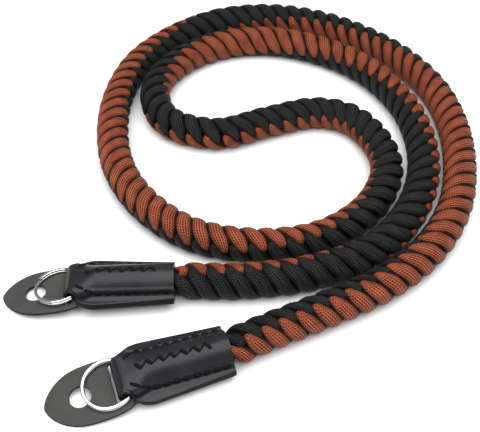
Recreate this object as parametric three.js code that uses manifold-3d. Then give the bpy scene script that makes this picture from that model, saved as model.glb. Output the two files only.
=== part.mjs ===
// Coiled paracord camera strap, lying on a table.
// Two cords, one black and one brown, are knotted into a long round strap. Each end of the strap is
// sewn into a leather sheath, which is folded over a split ring and the bar of a leather pad.
// Units are millimetres, +Z is up, and the origin is on the table under the middle of the strap.

import * as THREE from 'three';
import { mergeVertices } from 'three/addons/utils/BufferGeometryUtils.js';
import Module from 'manifold-3d';

// The knotted strap
const STRAP_RADIUS = 6.2; // to the crests of the lobes
const GROOVE_RADIUS = 5.5; // to the grooves between two lobes
const CORE_RADIUS = 4.1; // where the strap is squeezed into a sheath
const LOBE_PITCH = 6.05; // from one lobe to the next of the same colour
const LOBE_LEAN = 0.75; // pitches that a lobe moves along between its middle and its edge
const TIP_REACH = 5; // degrees that a lobe's tip reaches past the middle plane
const GROOVE_REACH = -9; // degrees that the edge between two tips stays short of it
const CORD_GAP = 0.36; // between the black and the brown half at the middle plane
const INNER_SHARE = 0.72; // how far out the flat inner side of a half reaches, as a share of the radius
const LEAN_START = 18; // mm from the strap's end where its lobes lean fully
const STUB = 24; // strap length inside each sheath
const TAPER = { inside: 0.3, outside: 3.8 }; // where it swells, from each side of a sheath's mouth
const KNOT_START = 5; // mm past the mouth where the lobes have their full depth
const LOBE_STOPS = [-1, -0.5, 0, 0.5, 1]; // places across a lobe, from edge to edge

// The strap's route over the table, from inside the rear sheath to inside the front one
const ROUTE_HEIGHT = STRAP_RADIUS;
const ROUTE_DIVISIONS = 6000; // steps for measuring its length
const ROUTE = [
  [-50.8, -55.9], [-38.8, -55.5], [-26.8, -55.1], [-3.8, -55.1], [17.7, -51.8], [39.2, -42.3],
  [54.2, -25.0], [62.5, -4.5], [64.0, 18.0], [59.3, 40.0], [47.7, 60.0], [30.5, 73.8],
  [9.5, 81.0], [-11.8, 79.0], [-30.1, 67.0], [-39.9, 47.2], [-34.1, 27.0], [-14.7, 19.2],
  [6.5, 26.6], [25.1, 32.0], [38.2, 28.0], [47.1, 14.5], [49.3, -2.0], [40.3, -22.0],
  [22.7, -35.6], [0.8, -39.4], [-20.9, -34.7], [-38.5, -20.7], [-50.1, -1.4], [-54.9, 20.7],
  [-54.5, 43.4], [-48.1, 65.4], [-33.7, 83.4], [-14.7, 95.9], [7.5, 99.7], [29.5, 94.7],
  [48.7, 82.8], [64.1, 66.4], [74.3, 46.0], [78.1, 23.7], [76.9, 1.0], [71.3, -20.8],
  [59.7, -40.4], [42.9, -55.6], [23.3, -66.4], [3.1, -76.0], [-9.0, -82.0], [-20.4, -85.9],
  [-31.7, -89.7],
];

// How far the strap is twisted: the way that the black half faces, in degrees from straight up
// towards the right of travel, at each distance along the route
const TWIST = [
  { along: 0, turn: 95 }, { along: 30, turn: 91 }, { along: 62, turn: 70 }, { along: 94, turn: 16 },
  { along: 126, turn: -24 }, { along: 158, turn: -70 }, { along: 190, turn: -119 },
  { along: 238, turn: -184 }, { along: 286, turn: -267 }, { along: 318, turn: -328 },
  { along: 334, turn: -362 }, { along: 366, turn: -376 }, { along: 430, turn: -371 },
  { along: 462, turn: -398 }, { along: 494, turn: -467 }, { along: 526, turn: -519 },
  { along: 574, turn: -541 }, { along: 622, turn: -569 }, { along: 670, turn: -614 },
  { along: 702, turn: -709 }, { along: 734, turn: -755 }, { along: 766, turn: -778 },
  { along: 814, turn: -847 }, { along: 862, turn: -899 }, { along: 910, turn: -957 },
  { along: 942, turn: -998 }, { along: 982, turn: -1018 }, { along: 1010, turn: -1024 },
];

// The leather sheaths
const SHEATH_LENGTH = 37;
const LEATHER = 1.25;
const FLANGE_HEIGHT = 5.15; // height of the middle plane of the two sewn layers
const NECK_HALF = 6.0; // half the width of the fold round the ring
const FOLD_EDGE = 1.2; // where the fold's outer edge is
// The room inside the fold. half: half its height; roofFrom, end, endHalf: where its roof starts to
// come down, where it ends, and how high it is there; barEnd: how far the bar's room reaches
const TUNNEL = {
  half: 2.6, halfWidth: 6.4, corner: 0.4, roofFrom: 6.4, end: 8.6, endHalf: 1.5, barEnd: 7.7,
};
const SIDE_OPEN_TO = 5.1; // how far the fold's sides are open over the room's whole height
const BAR_SLIT_TOP = -0.85; // top of the slit that the bar leaves the fold by
const NECK_THICK = TUNNEL.half + LEATHER; // half the thickness of the fold
const CAVITY = { start: 12.6, halfWidth: 4.8, halfHeight: 4.7, sides: 20 };
// Cross sections from the fold's outer edge to the mouth. half: half the sewn width; flange: half
// the thickness at the sides; crown: height above the middle plane; belly: depth below it; bulge:
// half the width of the crown; power: its roundness, from boxy to round; rise: 0 at the height of
// the neck, 1 at the height of the flanges
const SHEATH_SECTIONS = [
  { at: FOLD_EDGE, half: 5.7, flange: 1.3, crown: 1.3, belly: 1.3, bulge: 4, power: 0.3, rise: 0 },
  { at: 1.6, half: NECK_HALF, flange: 2.4, crown: 2.4, belly: 2.4, bulge: 4, power: 0.3, rise: 0 },
  { at: 2.2, half: NECK_HALF, flange: 3.3, crown: 3.3, belly: 3.3, bulge: 4.4, power: 0.3, rise: 0 },
  { at: 3.4, half: 6.2, flange: 3.7, crown: 3.9, belly: NECK_THICK, bulge: 5.4, power: 0.3, rise: 0 },
  { at: 5.0, half: 7.0, flange: 3.4, crown: 4.2, belly: 3.9, bulge: 6.2, power: 0.3, rise: 0 },
  { at: 5.8, half: 8.4, flange: 1.4, crown: 4.5, belly: 3.9, bulge: 7.6, power: 0.3, rise: 0 },
  { at: 7.0, half: 9.2, flange: 1.3, crown: 4.9, belly: 4.1, bulge: 7.2, power: 0.35, rise: 0.2 },
  { at: 8.6, half: 9.8, flange: 1.3, crown: 5.7, belly: 4.35, bulge: 6.8, power: 0.5, rise: 0.55 },
  { at: 10.6, half: 10.1, flange: 1.3, crown: 6.5, belly: 4.6, bulge: 6.4, power: 0.7, rise: 0.9 },
  { at: 12.2, half: 10.1, flange: LEATHER, crown: 6.9, belly: 4.75, bulge: 6.3, power: 0.75, rise: 1 },
  { at: 24.0, half: 9.3, flange: LEATHER, crown: 6.95, belly: 4.75, bulge: 6.4, power: 0.75, rise: 1 },
  {
    at: SHEATH_LENGTH, half: 8.4, flange: LEATHER, crown: 6.95, belly: 4.75, bulge: 6.4, power: 0.75,
    rise: 1,
  },
];
const BULGE_STOPS = [1, 0.87, 0.62, 0.32, 0]; // places across the bulge, from its edge to the middle

// The split rings
const RING = { outer: 8.3, inner: 7.2, turnThick: 0.78, turnStep: 0.86, steps: 44 };
const RING_JOG = 35; // degrees either side of the place where the wire steps from turn to turn
const TWO_TURNS = 720;

// The leather pads. x runs from the tip towards the sheath, as it does in the sheath
const PAD = { thick: 1.0, pivot: 4.7, curveSegments: 8 }; // pivot: the bar that the fold holds
const PAD_TIP = [-20.6, 0];
// One half of the outline from the tip: the two handles and the end of each curve
const PAD_OUTLINE = [
  { leave: [-20.2, 3.1], arrive: [-16.0, 8.8], to: [-8.5, 9.5] },
  { leave: [-3.5, 9.85], arrive: [2.6, 9.7], to: [5.0, 8.3] },
  { leave: [6.2, 7.6], arrive: [6.8, 6.6], to: [6.8, 4.6] },
];
const PAD_HOLE = { at: -9.5, radius: 3.4 };
const PAD_SLOT = { to: 2.9, half: 7.0, corner: 0.7 };
const SEAT_GAP = 0.28; // between the fold, the pad's bar and the ring
const SETTLE = { steepest: -20, steps: 40 }; // search for the tilt that brings a pad to the table

// Each end of the strap: the middle of the sheath's mouth on the table, the heading from fold to
// mouth, the sideways roll, the height of the fold's middle, how the pad and ring are shifted and
// turned, and where the pad's slot starts
const ENDS = [
  {
    name: 'rear', mouth: [-26.8, -55.1], heading: 1.8, roll: -4, neckHeight: 5.4,
    padAt: 0.4, padShift: 0, padTurn: 1, slotFrom: 0.5,
    ringAt: -0.9, ringShift: 0.1, ringLift: 0.45, ringRoll: -3.5, ringJog: 188,
  },
  {
    name: 'front', mouth: [-9.0, -82.0], heading: 18.8, roll: 8, neckHeight: 5.9,
    padAt: 0, padShift: -0.45, padTurn: 0, slotFrom: 0.85,
    ringAt: -0.5, ringShift: -0.2, ringLift: 0.1, ringRoll: 0, ringJog: 20,
  },
];

const COLOURS = {
  blackCord: { color: 0x1f2021, roughness: 0.85, metalness: 0 },
  brownCord: { color: 0x9c4f36, roughness: 0.8, metalness: 0 },
  sheathLeather: { color: 0x2b2c2f, roughness: 0.45, metalness: 0 },
  padLeather: { color: 0x454543, roughness: 0.75, metalness: 0 },
  steel: { color: 0xc8c9cb, roughness: 0.2, metalness: 1 },
};

const MERGE_WITHIN = 1e-4;

const wasm = await Module();
wasm.setup();

const radians = (degrees) => THREE.MathUtils.degToRad(degrees);
const ramp = (x, from, to) => THREE.MathUtils.smoothstep(x, from, to);

function toSolid(geometry) {
  const bare = geometry.clone();
  bare.deleteAttribute('normal');
  bare.deleteAttribute('uv');
  const merged = mergeVertices(bare, MERGE_WITHIN);
  const vertProperties = new Float32Array(merged.attributes.position.array);
  const triVerts = new Uint32Array(merged.index.array);
  return new wasm.Manifold(new wasm.Mesh({ numProp: 3, vertProperties, triVerts }));
}

function toGeometry(solid) {
  const mesh = solid.getMesh();
  const geometry = new THREE.BufferGeometry();
  geometry.setAttribute('position', new THREE.BufferAttribute(new Float32Array(mesh.vertProperties), 3));
  geometry.setIndex(Array.from(mesh.triVerts));
  geometry.computeVertexNormals();
  return geometry;
}

// A closed body through rings of points with the same count. slant(ring, side) is true where a
// side's four-cornered face is cut along its other diagonal.
function skin(rings, slant = () => false) {
  const count = rings[0].length;
  const positions = rings.flat().flatMap((p) => [p.x, p.y, p.z]);
  const index = [];
  for (let r = 0; r + 1 < rings.length; r += 1) {
    for (let k = 0; k < count; k += 1) {
      const a = r * count + k;
      const b = r * count + ((k + 1) % count);
      const c = a + count;
      const d = b + count;
      if (slant(r, k)) index.push(a, b, c, b, d, c);
      else index.push(a, b, d, a, d, c);
    }
  }
  const last = (rings.length - 1) * count;
  for (let k = 1; k + 1 < count; k += 1) {
    index.push(0, k + 1, k);
    index.push(last, last + k, last + k + 1);
  }
  const geometry = new THREE.BufferGeometry();
  geometry.setAttribute('position', new THREE.Float32BufferAttribute(positions, 3));
  geometry.setIndex(index);
  geometry.computeVertexNormals();
  return geometry;
}

function makeNode(name, geometry, finish) {
  const mesh = new THREE.Mesh(geometry, new THREE.MeshStandardMaterial(finish));
  mesh.name = name;
  return mesh;
}

// The strap

const routeCurve = new THREE.CatmullRomCurve3(
  ROUTE.map(([x, y]) => new THREE.Vector3(x, y, ROUTE_HEIGHT)), false, 'centripetal',
);
routeCurve.arcLengthDivisions = ROUTE_DIVISIONS;
const STRAP_LENGTH = routeCurve.getLength();

function twistAt(along) {
  const next = TWIST.findIndex((row) => row.along > along);
  if (next < 0) return TWIST[TWIST.length - 1].turn;
  if (next === 0) return TWIST[0].turn;
  const a = TWIST[next - 1];
  const b = TWIST[next];
  return a.turn + ((b.turn - a.turn) * (along - a.along)) / (b.along - a.along);
}

// The strap's own axes at a distance along the route: facing is where the black half faces
function frameAt(along) {
  const u = THREE.MathUtils.clamp(along / STRAP_LENGTH, 0, 1);
  const centre = routeCurve.getPointAt(u);
  const ahead = routeCurve.getTangentAt(u);
  const right = new THREE.Vector3().crossVectors(ahead, new THREE.Vector3(0, 0, 1)).normalize();
  const up = new THREE.Vector3().crossVectors(right, ahead);
  const turn = radians(twistAt(along));
  const facing = up.clone().multiplyScalar(Math.cos(turn)).addScaledVector(right, Math.sin(turn));
  const across = right.clone().multiplyScalar(Math.cos(turn)).addScaledVector(up, -Math.sin(turn));
  return { centre, facing, across };
}

// How far the strap has swollen from its squeezed end to its full size, and how deep its knots are
function shapeAt(along) {
  const fromEnd = Math.min(along, STRAP_LENGTH - along);
  const swell = ramp(fromEnd, STUB - TAPER.inside, STUB + TAPER.outside);
  const knot = ramp(fromEnd, STUB - TAPER.inside, STUB + KNOT_START);
  return { radius: THREE.MathUtils.lerp(CORE_RADIUS, STRAP_RADIUS, swell), knot };
}

// One half of the strap, a D in section, with a leaning lobe at every pitch. side is 1 for the
// black half and -1 for the brown one, which is the same shape turned half round.
function strapHalf(side) {
  const ringCount = 2 * Math.round(STRAP_LENGTH / LOBE_PITCH);
  const rings = [];
  for (let i = 0; i <= ringCount; i += 1) {
    const middle = (i / ringCount) * STRAP_LENGTH;
    const fromEnd = Math.min(middle, STRAP_LENGTH - middle);
    const lean = LOBE_LEAN * LOBE_PITCH * ramp(fromEnd, 0, LEAN_START);
    const isCrest = i % 2 === 0;
    const outward = (stop) => {
      const along = middle + stop * lean;
      const { centre, facing, across } = frameAt(along);
      const { radius, knot } = shapeAt(along);
      const depth = isCrest ? 0 : (STRAP_RADIUS - GROOVE_RADIUS) * knot;
      const flatReach = THREE.MathUtils.radToDeg(Math.asin(CORD_GAP / 2 / radius));
      const reach = (isCrest ? TIP_REACH : GROOVE_REACH) * knot - flatReach;
      const angle = radians(stop * (90 + reach));
      return centre.clone()
        .addScaledVector(facing, side * (radius - depth) * Math.cos(angle))
        .addScaledVector(across, side * (radius - depth) * Math.sin(angle));
    };
    const inward = (stop) => {
      const along = middle + stop * lean;
      const { centre, facing, across } = frameAt(along);
      return centre.clone()
        .addScaledVector(facing, (side * CORD_GAP) / 2)
        .addScaledVector(across, side * stop * INNER_SHARE * shapeAt(along).radius);
    };
    rings.push([...LOBE_STOPS.map(outward), ...[1, -1].map(inward)]);
  }
  return skin(rings, slantFor(side));
}

// The two halves cut the faces beside their zigzag edges the same way, so that they stay parallel
function slantFor(side) {
  const edgeToInner = 4;
  const innerToEdge = 6;
  return (ring, face) => {
    const fromCrest = (ring % 2 === 0) === (side === 1);
    if (face === edgeToInner) return !fromCrest;
    if (face === innerToEdge) return fromCrest;
    return false;
  };
}

// The sheaths

function sheathSection(row, end) {
  const across = [row.half, ...BULGE_STOPS.map((stop) => stop * row.bulge)];
  const profile = (height) => across.map((y) => {
    const q = Math.min(1, y / row.bulge);
    return [y, row.flange + (height - row.flange) * (1 - q * q) ** row.power];
  });
  const mirrored = (half) => [...half.map(([y, z]) => [-y, z]), ...half.slice(0, -1).reverse()];
  const crown = mirrored(profile(row.crown));
  const belly = mirrored(profile(row.belly)).reverse();
  const middle = THREE.MathUtils.lerp(end.neckHeight, FLANGE_HEIGHT, row.rise);
  const roll = radians(end.roll);
  const place = ([y, z]) => new THREE.Vector3(
    row.at, y * Math.cos(roll) - z * Math.sin(roll), middle + y * Math.sin(roll) + z * Math.cos(roll),
  );
  return [...crown.map(place).reverse(), ...belly.map(([y, z]) => place([y, -z])).reverse()];
}

function sheathSolid(end) {
  const outside = toSolid(skin(SHEATH_SECTIONS.map((row) => sheathSection(row, end))));
  const hollow = [CAVITY.start, SHEATH_LENGTH + 1].map((at) => (
    Array.from({ length: CAVITY.sides }, (_, k) => {
      const angle = (2 * Math.PI * k) / CAVITY.sides;
      return new THREE.Vector3(
        at, CAVITY.halfWidth * Math.cos(angle), ROUTE_HEIGHT + CAVITY.halfHeight * Math.sin(angle),
      );
    })
  ));
  const cuts = foldCuts().map((cut) => {
    cut.rotateX(radians(end.roll));
    cut.translate(0, 0, end.neckHeight);
    return toSolid(cut);
  });
  const sleeve = outside.subtract(toSolid(skin(hollow)));
  return toGeometry(cuts.reduce((rest, cut) => rest.subtract(cut), sleeve));
}

// The room for the ring and the bar, the openings that the ring leaves it by, and the bar's slit,
// as outlines along the fold and up, stretched sideways
function foldCuts() {
  const { half, halfWidth, corner, roofFrom, end, endHalf, barEnd } = TUNNEL;
  const wall = FOLD_EDGE + LEATHER;
  const inner = wall + corner;
  const start = [[inner, half], [wall, half - corner], [wall, corner - half], [inner, -half]];
  const through = 4 * NECK_HALF;
  return [
    {
      outline: [[barEnd, -half], [end, -endHalf], [end, endHalf], [roofFrom, half], ...start],
      width: 2 * halfWidth,
    },
    { outline: [[SIDE_OPEN_TO, -half], [SIDE_OPEN_TO, half], ...start], width: through },
    {
      outline: [[barEnd, -half], [barEnd, BAR_SLIT_TOP], [inner, BAR_SLIT_TOP], [inner, -half]],
      width: through,
    },
  ].map(({ outline, width }) => {
    const shape = new THREE.Shape(outline.map(([x, z]) => new THREE.Vector2(x, z)));
    const body = new THREE.ExtrudeGeometry(shape, { depth: width, bevelEnabled: false });
    body.rotateX(Math.PI / 2);
    body.translate(0, width / 2, 0);
    return body;
  });
}

// The split rings: flat wire in two turns, which steps from one turn to the next in one place

class SplitRingPath extends THREE.Curve {
  getPoint(t, target = new THREE.Vector3()) {
    const middle = (RING.outer + RING.inner) / 2;
    const degrees = RING_JOG + t * (TWO_TURNS - 2 * RING_JOG);
    const lift = RING.turnStep * ramp(degrees, TWO_TURNS / 2 - RING_JOG, TWO_TURNS / 2 + RING_JOG);
    const angle = radians(degrees);
    return target.set(middle * Math.cos(angle), middle * Math.sin(angle), lift);
  }
}

function ringGeometry() {
  const half = { wide: (RING.outer - RING.inner) / 2, thick: RING.turnThick / 2 };
  const path = new SplitRingPath();
  const rings = [];
  for (let i = 0; i <= RING.steps; i += 1) {
    const centre = path.getPoint(i / RING.steps);
    const outward = new THREE.Vector3(centre.x, centre.y, 0).normalize();
    const corner = (w, h) => centre.clone().addScaledVector(outward, w).add(new THREE.Vector3(0, 0, h));
    rings.push([
      corner(-half.wide, -half.thick), corner(half.wide, -half.thick),
      corner(half.wide, half.thick), corner(-half.wide, half.thick),
    ]);
  }
  return skin(rings.map((ring) => ring.reverse()));
}

// The pads: a leaf with a blunt tip, a round hole and a slot for the sheath's fold

function padGeometry(slotFrom) {
  const leaf = new THREE.Shape();
  leaf.moveTo(...PAD_TIP);
  PAD_OUTLINE.forEach(({ leave, arrive, to }) => {
    leaf.bezierCurveTo(leave[0], -leave[1], arrive[0], -arrive[1], to[0], -to[1]);
  });
  leaf.lineTo(...PAD_OUTLINE[PAD_OUTLINE.length - 1].to);
  for (let k = PAD_OUTLINE.length - 1; k >= 0; k -= 1) {
    const back = k > 0 ? PAD_OUTLINE[k - 1].to : PAD_TIP;
    leaf.bezierCurveTo(...PAD_OUTLINE[k].arrive, ...PAD_OUTLINE[k].leave, ...back);
  }
  const hole = new THREE.Path();
  hole.absarc(PAD_HOLE.at, 0, PAD_HOLE.radius, 0, 2 * Math.PI, true);
  const { to, half, corner } = PAD_SLOT;
  const slotCorners = [
    [slotFrom + corner, -half], [to - corner, -half], [to, corner - half], [to, half - corner],
    [to - corner, half], [slotFrom + corner, half], [slotFrom, half - corner], [slotFrom, corner - half],
  ];
  const slot = new THREE.Path(slotCorners.map(([x, y]) => new THREE.Vector2(x, y)));
  leaf.holes.push(hole, slot);
  const geometry = new THREE.ExtrudeGeometry(
    leaf, { depth: PAD.thick, bevelEnabled: false, curveSegments: PAD.curveSegments },
  );
  geometry.translate(-PAD.pivot, 0, -PAD.thick / 2);
  return geometry;
}

// The angle at which a pad's lowest corner just meets the table
function settleAngle(pad, holder) {
  const point = new THREE.Vector3();
  const lowestAt = (angle) => {
    holder.rotation.y = angle;
    holder.updateWorldMatrix(true, true);
    const places = pad.geometry.attributes.position;
    let lowest = Infinity;
    for (let i = 0; i < places.count; i += 1) {
      lowest = Math.min(lowest, point.fromBufferAttribute(places, i).applyMatrix4(pad.matrixWorld).z);
    }
    return lowest;
  };
  let low = 0;
  let high = radians(SETTLE.steepest);
  for (let step = 0; step < SETTLE.steps; step += 1) {
    const middle = (low + high) / 2;
    if (lowestAt(middle) > 0) low = middle;
    else high = middle;
  }
  return low;
}

function strapEnd(end) {
  const frame = new THREE.Group();
  const heading = radians(end.heading);
  frame.position.set(
    end.mouth[0] - SHEATH_LENGTH * Math.cos(heading), end.mouth[1] - SHEATH_LENGTH * Math.sin(heading), 0,
  );
  frame.rotation.z = heading;
  frame.add(makeNode(`${end.name}_sheath`, sheathSolid(end), COLOURS.sheathLeather));

  const neck = new THREE.Group();
  neck.position.z = end.neckHeight;
  neck.rotation.x = radians(end.roll);
  frame.add(neck);

  const tilted = new THREE.Group();
  tilted.position.set(PAD.pivot, 0, SEAT_GAP + PAD.thick / 2 - TUNNEL.half);
  neck.add(tilted);

  const pad = makeNode(`${end.name}_pad`, padGeometry(end.slotFrom), COLOURS.padLeather);
  pad.position.set(end.padAt, end.padShift, 0);
  pad.rotation.z = radians(end.padTurn);
  tilted.add(pad);

  const ring = makeNode(`${end.name}_split_ring`, ringGeometry(), COLOURS.steel);
  const ringHeight = PAD.thick / 2 + SEAT_GAP + RING.turnThick / 2 + end.ringLift;
  ring.position.set(end.ringAt - PAD.pivot, end.ringShift, ringHeight);
  ring.rotation.set(radians(end.ringRoll), 0, radians(end.ringJog));
  tilted.add(ring);

  tilted.rotation.y = settleAngle(pad, tilted);
  return frame;
}

const strap = new THREE.Group();
strap.add(makeNode('black_cord', strapHalf(1), COLOURS.blackCord));
strap.add(makeNode('brown_cord', strapHalf(-1), COLOURS.brownCord));
ENDS.forEach((end) => strap.add(strapEnd(end)));
strap.updateMatrixWorld(true);

export default strap;
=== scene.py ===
"""Looks of a knotted cord camera strap that lies coiled on a pale table.

Two cords, one black and one brown, are knotted into a round strap. Each end of the strap is sewn
into a leather sheath, which is folded over a split ring and the bar of a leather pad. Sizes in the
classes are millimetres and are turned into metres where a mesh is made.
"""

import logging
import math
import random
from dataclasses import dataclass
from enum import Enum
from typing import Any, Sequence

import bmesh
import bpy
from mathutils import Matrix, Vector


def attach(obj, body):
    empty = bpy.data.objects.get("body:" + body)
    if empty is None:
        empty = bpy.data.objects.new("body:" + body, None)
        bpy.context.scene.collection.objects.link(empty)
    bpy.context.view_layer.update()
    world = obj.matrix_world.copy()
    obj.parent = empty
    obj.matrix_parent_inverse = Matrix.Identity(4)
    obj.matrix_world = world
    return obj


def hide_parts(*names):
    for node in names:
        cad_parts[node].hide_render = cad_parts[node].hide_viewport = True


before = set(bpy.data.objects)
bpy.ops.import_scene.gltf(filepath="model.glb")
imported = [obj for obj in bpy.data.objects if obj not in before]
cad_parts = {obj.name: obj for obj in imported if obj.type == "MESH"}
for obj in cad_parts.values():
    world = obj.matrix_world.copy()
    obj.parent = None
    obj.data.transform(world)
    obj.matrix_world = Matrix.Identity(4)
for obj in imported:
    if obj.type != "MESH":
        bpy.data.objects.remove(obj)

log = logging.getLogger("strap")

MM = 0.001
FULL_TURN = 2 * math.pi

Pair = tuple[float, float]
Triple = tuple[float, float, float]
Socket = bpy.types.NodeSocket
Piece = bpy.types.Object

# The strap's route over the table in metres, from inside the rear sheath to inside the front one
ROUTE: list[Pair] = [
    (-0.0508, -0.0559), (-0.0388, -0.0555), (-0.0268, -0.0551), (-0.0038, -0.0551),
    (0.0177, -0.0518), (0.0392, -0.0423), (0.0542, -0.0250), (0.0625, -0.0045),
    (0.0640, 0.0180), (0.0593, 0.0400), (0.0477, 0.0600), (0.0305, 0.0738),
    (0.0095, 0.0810), (-0.0118, 0.0790), (-0.0301, 0.0670), (-0.0399, 0.0472),
    (-0.0341, 0.0270), (-0.0147, 0.0192), (0.0065, 0.0266), (0.0251, 0.0320),
    (0.0382, 0.0280), (0.0471, 0.0145), (0.0493, -0.0020), (0.0403, -0.0220),
    (0.0227, -0.0356), (0.0008, -0.0394), (-0.0209, -0.0347), (-0.0385, -0.0207),
    (-0.0501, -0.0014), (-0.0549, 0.0207), (-0.0545, 0.0434), (-0.0481, 0.0654),
    (-0.0337, 0.0834), (-0.0147, 0.0959), (0.0075, 0.0997), (0.0295, 0.0947),
    (0.0487, 0.0828), (0.0641, 0.0664), (0.0743, 0.0460), (0.0781, 0.0237),
    (0.0769, 0.0010), (0.0713, -0.0208), (0.0597, -0.0404), (0.0429, -0.0556),
    (0.0233, -0.0664), (0.0031, -0.0760), (-0.0090, -0.0820), (-0.0204, -0.0859),
    (-0.0317, -0.0897),
]
STRAP_RADIUS = 6.2

# How far the strap is twisted: the way that its black side faces, in degrees from straight up
# towards the right of travel, at each distance in millimetres along the route
TWIST: list[Pair] = [
    (0, 95), (30, 91), (62, 70), (94, 16), (126, -24), (158, -70), (190, -119), (238, -184),
    (286, -267), (318, -328), (334, -362), (366, -376), (430, -371), (462, -398), (494, -467),
    (526, -519), (574, -541), (622, -569), (670, -614), (702, -709), (734, -755), (766, -778),
    (814, -847), (862, -899), (910, -957), (942, -998), (982, -1018), (1010, -1024),
]


def between(rows: Sequence[Pair], x: float) -> float:
    """Reads a table of places and values, in a straight line from row to row.

    Args:
        rows: Places in rising order, each with its value.
        x: The place to read.

    Returns:
        The value there, held at the first and last rows' values outside them.
    """
    if x <= rows[0][0]:
        return rows[0][1]
    for (x0, y0), (x1, y1) in zip(rows, rows[1:]):
        if x <= x1:
            return y0 + (y1 - y0) * (x - x0) / (x1 - x0)
    return rows[-1][1]


def ramp(x: float, low: float, high: float) -> float:
    """A smooth step from 0 at low to 1 at high."""
    share = min(1.0, max(0.0, (x - low) / (high - low)))
    return share * share * (3 - 2 * share)


def about(axis: str, degrees: float) -> Matrix:
    """A turn about one axis, in degrees."""
    return Matrix.Rotation(math.radians(degrees), 4, axis)


def moved(x: float, y: float, z: float) -> Matrix:
    """A shift in millimetres."""
    return Matrix.Translation(Vector((x, y, z)))


def circle(radius: float, steps: int) -> list[Pair]:
    """A round outline about the origin, of as many points as steps."""
    turns = [FULL_TURN * k / steps for k in range(steps)]
    return [(radius * math.cos(turn), radius * math.sin(turn)) for turn in turns]


def round_rectangle(low: Pair, high: Pair, corner: float, steps: int) -> list[Pair]:
    """The outline of a rectangle with round corners, anticlockwise.

    Args:
        low: Its lowest corner, before it is rounded.
        high: Its highest corner.
        corner: The radius of its corners.
        steps: The number of steps in each corner.

    Returns:
        The outline's points.
    """
    x0, x1 = low[0] + corner, high[0] - corner
    y0, y1 = low[1] + corner, high[1] - corner
    points = []
    for x, y, start in ((x1, y1, 0), (x0, y1, 90), (x0, y0, 180), (x1, y0, 270)):
        for k in range(steps + 1):
            angle = math.radians(start + 90 * k / steps)
            points.append((x + corner * math.cos(angle), y + corner * math.sin(angle)))
    return points


# Node trees


class Graph:
    """Short calls for building a geometry or shader node tree."""

    def __init__(self, tree: bpy.types.NodeTree) -> None:
        """Keeps the tree that the calls add to."""
        self.tree = tree

    def node(self, kind: str, settings: dict[str, Any] | None = None, **inputs: Any) -> bpy.types.Node:
        """Adds one node.

        Args:
            kind: The node's type name.
            settings: Its own properties, set before its sockets are.
            **inputs: Socket names with underscores for spaces, and a value or a socket for each.

        Returns:
            The new node.
        """
        made = self.tree.nodes.new(kind)
        for key, value in (settings or {}).items():
            setattr(made, key, value)
        for key, value in inputs.items():
            name = key.replace("_", " ")
            self.put(next(s for s in made.inputs if s.name == name and s.enabled), value)
        return made

    def put(self, socket: Socket, value: Any) -> None:
        """Sets an input to a value, or links a socket to it.

        Args:
            socket: The input.
            value: The value or the socket.
        """
        if isinstance(value, Socket):
            self.tree.links.new(value, socket)
        else:
            socket.default_value = value

    def result(self, node: bpy.types.Node, name: str) -> Socket:
        """Finds the output of that name that is in use."""
        return next(s for s in node.outputs if s.name == name and s.enabled)

    def _worked_out(self, kind: str, operation: str, values: Sequence[Any]) -> Socket:
        """Adds a Math or Vector Math node.

        Args:
            kind: The node's type name.
            operation: What it works out.
            values: A value or a socket for each of its inputs.

        Returns:
            Its result.
        """
        made = self.node(kind, {"operation": operation})
        for socket, value in zip([s for s in made.inputs if s.enabled], values):
            self.put(socket, value)
        return next(s for s in made.outputs if s.enabled)

    def math(self, operation: str, *values: Any) -> Socket:
        """Works out numbers with a Math node."""
        return self._worked_out("ShaderNodeMath", operation, values)

    def vector(self, operation: str, *values: Any) -> Socket:
        """Works out vectors with a Vector Math node."""
        return self._worked_out("ShaderNodeVectorMath", operation, values)

    def times(self, product: Any, *factors: Any) -> Socket:
        """Multiplies numbers, from left to right.

        Args:
            product: The first of them.
            *factors: The others.

        Returns:
            The product.
        """
        for factor in factors:
            product = self.math("MULTIPLY", product, factor)
        return product

    def scaled(self, vector: Any, factor: Any) -> Socket:
        """Multiplies a vector by a number."""
        return self.vector("SCALE", vector, factor)

    def joined(self, x: Any, y: Any, z: Any) -> Socket:
        """Makes a vector of three numbers."""
        return self.node("ShaderNodeCombineXYZ", X=x, Y=y, Z=z).outputs[0]

    def eased(self, value: Any, low: float, high: float, start: Any, end: Any) -> Socket:
        """Reads a smooth step between two values.

        Args:
            value: The number that drives the step.
            low: Where the step begins.
            high: Where the step ends.
            start: The result up to low.
            end: The result from high on.

        Returns:
            The stepped value.
        """
        made = self.node("ShaderNodeMapRange", {"interpolation_type": "SMOOTHSTEP"}, Value=value)
        for socket, number in zip(made.inputs[1:5], (low, high, start, end)):
            self.put(socket, number)
        return made.outputs[0]


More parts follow.
